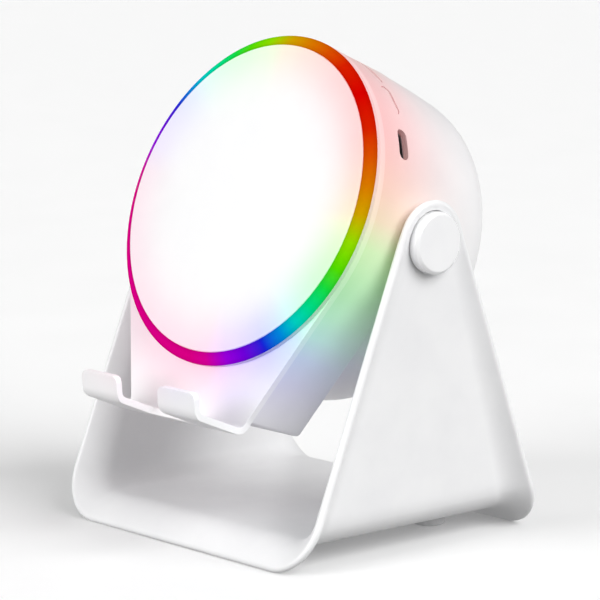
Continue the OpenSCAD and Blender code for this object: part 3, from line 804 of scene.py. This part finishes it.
def pill_outline(length, width, steps=12):
    """A rectangle with round ends: half circles of half the width about two centres."""
    a = np.linspace(-np.pi / 2, np.pi / 2, steps)
    end = width / 2 * np.stack([np.cos(a), np.sin(a)], -1)
    reach = np.array([(length - width) / 2, 0])
    return np.concatenate([end + reach, -end - reach])


def on_flank(angle, outline, heights):
    """Outlines stood on the body's side: x runs round the body, y along w, and the heights
    are distances from the axis, one for each row or for each point."""
    heights = np.asarray(heights, float).reshape(len(heights), -1)
    outline = np.broadcast_to(outline, (len(heights),) + np.shape(outline)[-2:])
    x, y = outline[..., 0], outline[..., 1]
    u = np.sin(angle) * heights + np.cos(angle) * x
    v = np.cos(angle) * heights - np.sin(angle) * x
    return in_head(np.stack([u, v, port_w + y], axis=-1))


def prism(name, points):
    """A closed solid from a stack of outlines, one per row, with a flat fan at each end."""
    first = np.broadcast_to(points[0].mean(0), points[0].shape)
    last = np.broadcast_to(points[-1].mean(0), points[-1].shape)
    whole = np.concatenate([first[None], points, last[None]])
    return build(name, [(whole, False, True)])


def hinge_solid(name, side, profile, turns=96):
    """A solid of revolution: a profile of (radius, distance) carried round the hinge axis,
    outwards on one side."""
    spun = revolved(profile, turns) * MM
    points = hinge + np.stack([side * spun[..., 2], spun[..., 0], spun[..., 1]], axis=-1)
    return build(name, [(points, True, True)])


def both_sides(profile):
    """The same profile turned about the hinge axis on the left and on the right."""
    return [hinge_solid("turned", side, profile) for side in (-1, 1)]


boss_r, boss_root, boss_face = 8.5, 40, 49.6
insert_r, insert_root = 3.6, 38
side_port_size = (9.8, 3.8)
recess_gap = 0.3
cut_from, cut_to = 42, 54
combine(shell, "UNION", both_sides([(0, boss_root), (boss_r, boss_root),
                                    (boss_r, boss_face + recess_gap),
                                    (0, boss_face + recess_gap)]))
pills = [(side_port_angle, *side_port_size)]
pills += [(angle, length + 2 * button_gap, button_w + 2 * button_gap)
          for angle, length in buttons.values()]
cutters = [prism("cut", on_flank(angle, pill_outline(length, width), [cut_from, cut_to]))
           for angle, length, width in pills]
cutters += both_sides([(0, boss_face), (boss_r + recess_gap, boss_face),
                       (boss_r + recess_gap, cut_to), (0, cut_to)])
cutters += both_sides([(0, insert_root), (insert_r, insert_root), (insert_r, cut_to),
                       (0, cut_to)])
combine(shell, "DIFFERENCE", cutters)
finish_piece(shell, "head", body_white, ["body_shell"], sharp=30)

# %% [markdown]
# ## Buttons and caps
#
# Each button is a pill whose top follows the body's roundness and whose edge is rounded.
# The hinge caps are turned shapes with a broad bevel and a shallow dish in the middle, which
# catches a soft ring of light.

# %% Buttons
def button_stack(angle, length):
    """Outlines of a button from its foot to its crowned top.  Near the top the outline
    shrinks round a quarter circle; the crown follows the body's radius."""
    a = np.linspace(0, np.pi / 2, 7)
    edge = 0.35
    shrink = np.concatenate([[0], edge * (1 - np.cos(a))])
    top = can_r - button_sink
    heights = np.concatenate([[can_r - button_depth], top - edge + edge * np.sin(a)])
    outlines = np.stack([pill_outline(length - 2 * s, button_w - 2 * s, 14) for s in shrink])
    scales = np.array([0.75, 0.5, 0.25, 0.0])
    outlines = np.concatenate([outlines, outlines[-1] * scales[:, None, None]])
    heights = np.concatenate([heights, np.full(4, heights[-1])])
    crown = np.sqrt(can_r**2 - outlines[..., 0]**2) - can_r
    crown[0] = 0
    return on_flank(angle, outlines, heights[:, None] + crown)


for button, (angle, length) in buttons.items():
    stack = button_stack(angle, length)
    foot = np.broadcast_to(stack[0].mean(0), stack[0].shape)
    made = build(button + "_cap", [(np.concatenate([foot[None], stack]), False, True)])
    finish_piece(made, button, body_white, [button], sharp=40)

# %% Hinge caps
cap_low, cap_high = node_box("hinge_cap_right", STAND)
cap_r = cap_high[1]
cap_foot, cap_top = cap_low[0], cap_high[0]
hollow_r, hollow_top = 6.42, cap_foot + 1.65
for side, word in ((-1, "left"), (1, "right")):
    profile = rounded([(hollow_r, cap_foot), (cap_r, cap_foot), (cap_r, cap_top - 0.8),
                       (cap_r - 0.9, cap_top), (0, cap_top - 0.12), (0, hollow_top),
                       (hollow_r, hollow_top)], [0.1, 0.15, 0.5, 0.6, 0, 0, 0.2])
    made = hinge_solid("hinge_cap_cover_" + word, side, profile, 160)
    finish_piece(made, "head", cap_white, ["hinge_cap_" + word], sharp=40)

# %% [markdown]
# ## The stand
#
# The stand is one sheet, bent up at both sides into tapering arms with round tops.  Its
# edges flare outwards like the mouth of a trumpet.  The sheet is laid out flat first: s is
# the distance along its section from the middle of the floor, and each row of points starts
# on the sheet's edge and runs inwards.  Row by row the section is bent, the flare is added
# along the outward direction, and the thickness is set off square to the flared face.

# %% Stand section
PIVOT_H = hinge[2] / MM
base_half_d, rim_half_w, arm_half_w = 47.0, 54.0, 53.0
arm_lean = np.radians(2.8)
arm_top_r, floor_h, sheet_t, bend_r = 10.4, 5.66, 2.3, 9.1
rim_lift = 0.4
flare_widths = (10.0, 8.0, 5.0)
edge_slope = (np.arctan2(base_half_d, PIVOT_H)
              - np.arcsin(arm_top_r / np.hypot(base_half_d, PIVOT_H)))
bend_turn = np.pi / 2 - arm_lean
bend_end_h = floor_h + bend_r * (1 - np.cos(bend_turn))
bend_end_x = arm_half_w - (PIVOT_H - bend_end_h) * np.tan(arm_lean)
bend_start_x = bend_end_x - bend_r * np.sin(bend_turn)
bend_end_s = bend_start_x + bend_r * bend_turn
pivot_s = bend_end_s + (PIVOT_H - bend_end_h) / np.cos(arm_lean)


def section(s):
    """Outer face of the sheet at length s, as (x, z, outward x, outward z): flat under the
    floor, then an arc that turns by the bend's angle, then straight up the leaning arm."""
    a = np.clip((s - bend_start_x) / bend_r, 0, bend_turn)
    up = np.maximum(s - bend_end_s, 0)
    x = np.minimum(s, bend_start_x) + bend_r * np.sin(a) + up * np.sin(arm_lean)
    z = floor_h + bend_r * (1 - np.cos(a)) + up * np.cos(arm_lean)
    return x, z, np.sin(a), -np.cos(a)


def flare(s):
    """How far the edge stands out of the sheet, and how wide the flare is: blended between
    the floor's and the arm's values round the bend."""
    t = np.clip((s - bend_start_x) / (bend_end_s - bend_start_x), 0, 1)
    arm_x = section(np.minimum(s, pivot_s))[0]
    on_arm = np.where(s < bend_end_s, rim_half_w - bend_end_x,
                      (rim_half_w - arm_x) / np.cos(arm_lean))
    rise = (1 - t) * (floor_h - rim_lift) + t * on_arm
    up = np.clip((s - bend_end_s) / (pivot_s - bend_end_s), 0, 1)
    width = ((1 - t) * flare_widths[0] + t * flare_widths[1]) * (1 - up)
    return rise, width + up * flare_widths[2]


def edge_rows():
    """Rows up one side, as (s, y of the edge, angle the row turns towards the arm's top)."""
    bend = np.linspace(0, 1, 28)[1:]
    arm_end = pivot_s + arm_top_r * np.sin(edge_slope)
    s = np.concatenate([np.linspace(0, bend_start_x, 10),
                        bend_start_x + (bend_end_s - bend_start_x) * bend,
                        np.linspace(bend_end_s, arm_end, 44)[1:]])
    turn = edge_slope * np.clip((s - bend_start_x) / (bend_end_s - bend_start_x), 0, 1)
    rise, _ = flare(s)
    x, z, nx, nz = section(s)
    y = -(base_half_d - np.tan(edge_slope) * (z + rise * nz))
    a = np.linspace(edge_slope, np.pi / 2, 26)[1:]
    return (np.concatenate([s, pivot_s + arm_top_r * np.sin(a)]),
            np.concatenate([y, -arm_top_r * np.cos(a)]), np.concatenate([turn, a]))


def half_sheet(steps=13, edge_steps=7):
    """Front half of every row: outer face, inner face and rounded edge.  At distance d in
    from the edge the outer face stands out by rise times (1 - d / width) squared."""
    s, y, turn = (q[:, None] for q in edge_rows())
    rise, width = flare(s)
    t = 1 - np.linspace(0, 1, steps)[None] ** 1.15
    d = width * (1 - t)
    x, z, nx, nz = section(s - d * np.sin(turn))
    lift, slope = rise * t * t, -2 * rise / width * t
    zero = np.zeros_like(x)
    out = np.stack([nx, zero, nz], -1)
    inset = np.stack([nz * np.sin(turn), np.cos(turn) + zero, -nx * np.sin(turn)], -1)
    length = np.sqrt(1 + slope**2)[..., None]
    slope = slope[..., None]
    outer = np.stack([x, y + d * np.cos(turn), z], -1) + out * lift[..., None]
    square_in = (inset * slope - out) / length
    along = (inset + out * slope) / length
    inner = outer + square_in * sheet_t
    a = np.linspace(0, np.pi, edge_steps + 2)[1:-1][None, :, None]
    mid = (outer[:, :1] + inner[:, :1]) / 2
    edge = mid + sheet_t / 2 * (square_in[:, :1] * np.cos(a) - along[:, :1] * np.sin(a))
    return outer, inner, edge


def stand_grid():
    """Whole sheet: each row is a loop of the front half and its mirror image in the hinge's
    upright plane, and the rows run from the left arm's top under the floor to the right's."""
    outer, inner, edge = half_sheet()
    rear = np.array([1, -1, 1])
    loop = np.concatenate([outer, outer[:, ::-1] * rear, edge[:, ::-1] * rear,
                           inner * rear, inner[:, ::-1], edge], axis=1)
    left = loop[:0:-1] * np.array([-1, 1, 1])
    return np.concatenate([left, loop])


# %% Stand sheet
shoulder_r, seat_r = 4.05, 9.2
seat_face, seat_root = 50.2, 51.6
hole_from, hole_to = 45, 60
recess_r = cap_r + recess_gap
stand = build("stand_sheet", [(in_stand(stand_grid()), False, True)])
combine(stand, "UNION", both_sides([(0, seat_face), (seat_r, seat_face),
                                    (seat_r, seat_root), (0, seat_root)]))
combine(stand, "DIFFERENCE", both_sides(
    [(0, hole_from), (shoulder_r, hole_from), (shoulder_r, arm_half_w),
     (recess_r, arm_half_w), (recess_r, hole_to), (0, hole_to)]))
finish_piece(stand, "stand", stand_white, ["stand_frame"], sharp=38)

# %% [markdown]
# ## Feet and rear cover
#
# Four soft rubber feet fill the space between the table and the floor.  The rear cover is a
# turned disc with holes for its ports, its screws and the air slots.  Each hole is a solid
# cut, and a small bevel softens every edge as a mould does.

# %% Rubber feet
_, feet_high = node_box("rubber_feet", STAND)
foot_r = 5.0
foot_profile = rounded([(0, 0), (foot_r, 0), (foot_r, floor_h), (0, floor_h)],
                       [0, 0.9, 0.1, 0])
foot = revolved(foot_profile, 64)
reach = feet_high[0] - foot_r
feet_grids = [(in_stand(foot + np.array([x, y, 0])), True, True)
              for x in (-reach, reach) for y in (-reach, reach)]
feet = build("rubber_foot_set", feet_grids)


def soft_rubber():
    """Pale grey soft rubber: matt, with a fine pebbled skin and dusty lighter patches."""
    material, tree, shader = new_material("soft_rubber")
    where = own_place(tree)
    dust = noise(tree, where, 3, 4)
    coated(tree, shader, tinted(tree, dust, (0.60, 0.60, 0.61), (0.68, 0.68, 0.69)),
           between(tree, dust, 0.7, 0.95))
    pebble = node(tree, "ShaderNodeTexVoronoi", {"Vector": where, "Scale": 1 / (0.5 * MM)})
    bumped(tree, shader, pebble.outputs["Distance"], 0.03)
    return material


rubber = soft_rubber()
finish_piece(feet, "stand", rubber, ["rubber_feet"])

# %% Rear cover
cover_t = 2.2
usb_a_places = [(0, 5 + side * 6) for side in (-1, 1)]
input_v = -13
port_board_w = -18.9
screw_at, post_at = 29.5, 25
post_r, peg_r, peg_len = 2.4, 0.9, 5
post_top = port_board_w - 0.02
vent_pitch, vent_v = 4, -23
usb_a_opening, input_opening, vent = (13.5, 6.1, 0.6), (9.3, 3.6), (6, 1.4)
cover_screw_r = 1.5


def through_cover(u, v, outline):
    """A solid that passes through the cover at (u, v), with the given outline."""
    flat = np.broadcast_to(outline + np.array([u, v]), (2,) + outline.shape)
    depth = np.array([rear_w - 1, rear_w + 5])[:, None, None]
    depth = np.broadcast_to(depth, flat.shape[:2] + (1,))
    return prism("cut", in_head(np.concatenate([flat, depth], -1)))


def round_outline(radius, steps=40):
    """A circle of points, turned half a step so that none lies on a line of the disc."""
    a = (np.arange(steps) + 0.5) * 2 * np.pi / steps
    return radius * np.stack([np.cos(a), np.sin(a)], -1)


def box_outline(length, width, radius):
    """A rectangle with rounded corners."""
    x, y = length / 2, width / 2
    return rounded([(-x, -y), (x, -y), (x, y), (-x, y)], radius)


disc_profile = rounded([(0, rear_w), (cover_r, rear_w), (cover_r, rear_w + cover_t),
                        (0, rear_w + cover_t)], [0, 0.5, 0.1, 0])
cover = build("rear_cover_disc", [(in_head(revolved(disc_profile, 190)), True, True)])
cuts = [through_cover(u, v, box_outline(*usb_a_opening)) for u, v in usb_a_places]
cuts.append(through_cover(0, input_v, pill_outline(*input_opening)))
cuts += [through_cover(screw_at * np.sin(a), screw_at * np.cos(a), round_outline(cover_screw_r))
         for a in np.radians([45, 135, 225, 315])]
cuts += [through_cover(vent_pitch * k, vent_v, pill_outline(*vent)[:, ::-1])
         for k in range(-2, 3)]
combine(cover, "DIFFERENCE", cuts)
posts = []
for side in (-1, 1):
    post = revolved([(0, rear_w + 1), (post_r, rear_w + 1), (post_r, post_top),
                     (peg_r, post_top), (peg_r, port_board_w - peg_len),
                     (0, port_board_w - peg_len)], 48) + np.array([side * post_at, 0, 0])
    posts.append(build("post", [(in_head(post), True, True)]))
combine(cover, "UNION", posts)
soften(cover, 0.2, 50, 2)
finish_piece(cover, "head", body_white, ["rear_cover"], sharp=40)

# %% [markdown]
# ## Finishes of the inner parts
#
# The ports, boards, coil and fasteners keep their CAD shapes, which are right as they are.
# Each gets the surface that its own making leaves: brushed or turned metal, wound copper,
# solder mask over copper tracks, moulded chip packages.

# %% Metals


def metal(name, dark, light, rough, stretch, grain_mm, depth_mm):
    """Metal with a drawn or rolled grain: noise stretched along one axis, which moves shade,
    gloss and height together."""
    material, tree, shader = new_material(name)
    where = own_place(tree)
    drawn = node(tree, "ShaderNodeMapping", {"Vector": where, "Scale": stretch})
    grain = noise(tree, drawn.outputs[0], grain_mm, 4, 0.6)
    coated(tree, shader, tinted(tree, grain, dark, light),
           between(tree, grain, rough - 0.08, rough + 0.1))
    shader.inputs["Metallic"].default_value = 1.0
    bumped(tree, shader, grain, depth_mm)
    return material


def ringed(material, pitch_mm, depth_mm, square=False):
    """Adds fine rings round the face's axis, such as wound wire or turning marks: the height
    is the sine of the radius over the pitch."""
    tree = material.node_tree
    shader = tree.nodes["Principled BSDF"]
    u, v, _ = head_place(tree)
    radius = from_axis(tree, u, v)
    wave = math(tree, "SINE", math(tree, "MULTIPLY", radius, 2 * np.pi / (pitch_mm * MM)))
    if square:
        wave = math(tree, "GREATER_THAN", wave, 0.6)
    bumped(tree, shader, wave, depth_mm)
    return material


port_steel = metal("port_steel", (0.50, 0.50, 0.51), (0.66, 0.66, 0.67), 0.3, (1, 1, 12),
                   0.6, 0.004)
screw_steel = metal("screw_steel", (0.42, 0.42, 0.43), (0.60, 0.60, 0.62), 0.26, (1, 1, 1),
                    0.4, 0.003)
spreader_metal = metal("spreader_metal", (0.62, 0.63, 0.65), (0.78, 0.79, 0.80), 0.36,
                       (1, 14, 14), 1.2, 0.006)
turned_brass = metal("turned_brass", (0.55, 0.38, 0.14), (0.74, 0.54, 0.23), 0.3, (14, 1, 1),
                     0.5, 0.02)
wound_copper = ringed(metal("wound_copper", (0.50, 0.19, 0.08), (0.68, 0.30, 0.14), 0.34,
                            (1, 1, 1), 1.0, 0.004), 0.7, 0.12)
magnet_nickel = metal("magnet_nickel", (0.36, 0.36, 0.37), (0.52, 0.52, 0.53), 0.28,
                      (1, 1, 1), 2.0, 0.003)
print("metals made")

# %% Boards, chips and inner plastics


def solder_mask():
    """Circuit board: green mask over copper tracks.  The tracks are the narrow band where a
    blocky cell pattern's edges lie, lighter and a little raised."""
    material, tree, shader = new_material("solder_mask")
    u, v, w = head_place(tree)
    where = node(tree, "ShaderNodeCombineXYZ", {"X": u, "Y": v, "Z": w}).outputs[0]
    cells = node(tree, "ShaderNodeTexVoronoi", {"Vector": where, "Scale": 1 / (3.2 * MM)},
                 distance="MANHATTAN", feature="F2")
    band = math(tree, "PINGPONG", math(tree, "MULTIPLY", cells.outputs["Distance"], 6.0), 1.0)
    track = math(tree, "GREATER_THAN", band, 0.72)
    colour = node(tree, "ShaderNodeMix",
                  {0: track, 6: (0.008, 0.075, 0.035, 1), 7: (0.02, 0.17, 0.075, 1)},
                  data_type="RGBA")
    coated(tree, shader, colour.outputs[2],
           between(tree, noise(tree, where, 4, 3), 0.25, 0.42))
    bumped(tree, shader, track, 0.03)
    return material


def ribbed_ribbon():
    """Flat cable: parallel conductors show as fine ribs across its width."""
    material, tree, shader = new_material("ribbed_ribbon")
    u, _, _ = head_place(tree)
    rib = math(tree, "SINE", math(tree, "MULTIPLY", u, 2 * np.pi / (0.5 * MM)))
    shade = tinted(tree, between(tree, rib, 0.2, 0.8), (0.50, 0.50, 0.48), (0.68, 0.68, 0.66))
    coated(tree, shader, shade, between(tree, noise(tree, own_place(tree), 2), 0.4, 0.6))
    bumped(tree, shader, rib, 0.08)
    return material


def cracked_ferrite():
    """Ferrite sheet: dark matt ceramic, broken into small tiles under its film."""
    material, tree, shader = new_material("cracked_ferrite")
    where = own_place(tree)
    tiles = node(tree, "ShaderNodeTexVoronoi", {"Vector": where, "Scale": 1 / (2.5 * MM)},
                 feature="DISTANCE_TO_EDGE")
    line = math(tree, "LESS_THAN", tiles.outputs["Distance"], 0.06)
    shade = tinted(tree, math(tree, "SUBTRACT", 1.0, line), (0.004, 0.004, 0.004),
                   (0.022, 0.022, 0.024))
    coated(tree, shader, shade, between(tree, noise(tree, where, 1.5, 3), 0.5, 0.7))
    bumped(tree, shader, line, -0.03)
    return material


finishes = {
    port_steel: ["side_usb_c_shell", "usb_a_shells", "input_usb_c_shell"],
    moulded_plastic("port_black", (0.012, 0.012, 0.013), (0.03, 0.03, 0.032), 0.45, 0.3,
                   0.004): ["side_usb_c_tongue", "usb_a_tongues", "input_usb_c_tongue"],
    solder_mask(): ["led_board", "main_board", "port_board"],
    moulded_plastic("chip_epoxy", (0.010, 0.010, 0.011), (0.028, 0.028, 0.030), 0.5, 0.12,
                   0.006): ["board_chips"],
    moulded_plastic("diode_package", (0.75, 0.70, 0.42), (0.92, 0.90, 0.78), 0.35, 0.5,
                   0.004): ["ring_leds"],
    wound_copper: ["charging_coil"],
    magnet_nickel: ["magnet_ring"],
    cracked_ferrite(): ["ferrite_sheet"],
    moulded_plastic("tray_plastic", (0.55, 0.55, 0.55), (0.66, 0.66, 0.66), 0.55, 0.35,
                   0.008): ["coil_tray"],
    spreader_metal: ["heat_spreader"],
    ribbed_ribbon(): ["board_ribbon"],
    moulded_plastic("switch_plastic", (0.05, 0.05, 0.05), (0.10, 0.10, 0.10), 0.5, 0.3,
                   0.005): ["button_switches"],
    screw_steel: ["cover_screws", "board_screws", "hinge_screw_left", "hinge_screw_right"],
    turned_brass: ["hinge_insert_left", "hinge_insert_right"],
    rubber: ["friction_washer_left", "friction_washer_right"],
}
for material, names in finishes.items():
    for name in names:
        frame["nodes"][name].data.materials.clear()
        frame["nodes"][name].data.materials.append(material)
    print(material.name, "on", ", ".join(names))

# %% [markdown]
# ## Floor and light
#
# A white studio: a pale floor, an even dim surround, a broad sun from the upper right and a
# second one, lower, from the front left.  Suns light the floor evenly however far it
# reaches, and a little emission keeps its shadows pale.  The floor is kept out of diffuse
# bounces, because a floor this bright would light the undersides as strongly as the tops and
# take the roundness away.

# %% Stage
LEVELS = {"sky": 0.37, "ground": 0.28, "right": 2.5, "front": 2.0, "floor": 0.06}


def pale_floor():
    """A wide floor with a barely uneven matt surface."""
    material, tree, shader = new_material("pale_floor")
    where = own_place(tree)
    tree.links.new(tinted(tree, noise(tree, where, 40, 2), (0.93, 0.93, 0.93),
                          (0.96, 0.96, 0.96)), shader.inputs["Base Color"])
    shader.inputs["Roughness"].default_value = 0.55
    shader.inputs["Specular IOR Level"].default_value = 0.25
    shader.inputs["Emission Color"].default_value = (1, 1, 1, 1)
    shader.inputs["Emission Strength"].default_value = LEVELS["floor"]
    half = 12.0
    mesh = bpy.data.meshes.new("studio_floor")
    mesh.from_pydata([(-half, -half, 0), (half, -half, 0), (half, half, 0), (-half, half, 0)],
                     [], [(0, 1, 2, 3)])
    mesh.materials.append(material)
    floor = add_object("studio_floor", mesh)
    floor.visible_diffuse = False
    return floor


def broad_sun(name, place, towards, power, degrees):
    """A sun at a place, facing a point, that looks as wide as the angle."""
    data = bpy.data.lights.new(name, "SUN")
    data.energy = power
    data.angle = np.radians(degrees)
    light = bpy.data.objects.new(name, data)
    bpy.context.scene.collection.objects.link(light)
    back = np.array(place, float) - np.array(towards, float)
    back /= np.linalg.norm(back)
    right = np.cross([0.0, 0.0, 1.0], back)
    right /= np.linalg.norm(right)
    pose = np.eye(4)
    pose[:3] = np.stack([right, np.cross(back, right), back, place], axis=1)
    light.matrix_world = Matrix(pose.tolist())
    return light


def white_surround(sky, ground):
    """A white world whose strength goes smoothly from the ground's below the horizon to the
    sky's above it, by the height of the direction looked in."""
    world = bpy.data.worlds.new("white_surround")
    world.use_nodes = True
    tree = world.node_tree
    background = tree.nodes["Background"]
    direction = node(tree, "ShaderNodeTexCoord").outputs["Generated"]
    height = node(tree, "ShaderNodeSeparateXYZ", {"Vector": direction}).outputs["Z"]
    level = node(tree, "ShaderNodeMapRange",
                 {"Value": height, "From Min": -0.25, "From Max": 0.1, "To Min": ground,
                  "To Max": sky}, interpolation_type="SMOOTHSTEP")
    background.inputs["Color"].default_value = (1, 1, 1, 1)
    tree.links.new(level.outputs["Result"], background.inputs["Strength"])
    bpy.context.scene.world = world


pale_floor()
white_surround(LEVELS["sky"], LEVELS["ground"])
middle = (0, 0, 0.08)
broad_sun("right_sun", (1.13, 0.2, 0.88), middle, LEVELS["right"], 50)
broad_sun("front_sun", (-0.23, -1.31, 0.51), middle, LEVELS["front"], 40)
bpy.context.scene.view_settings.view_transform = "Standard"
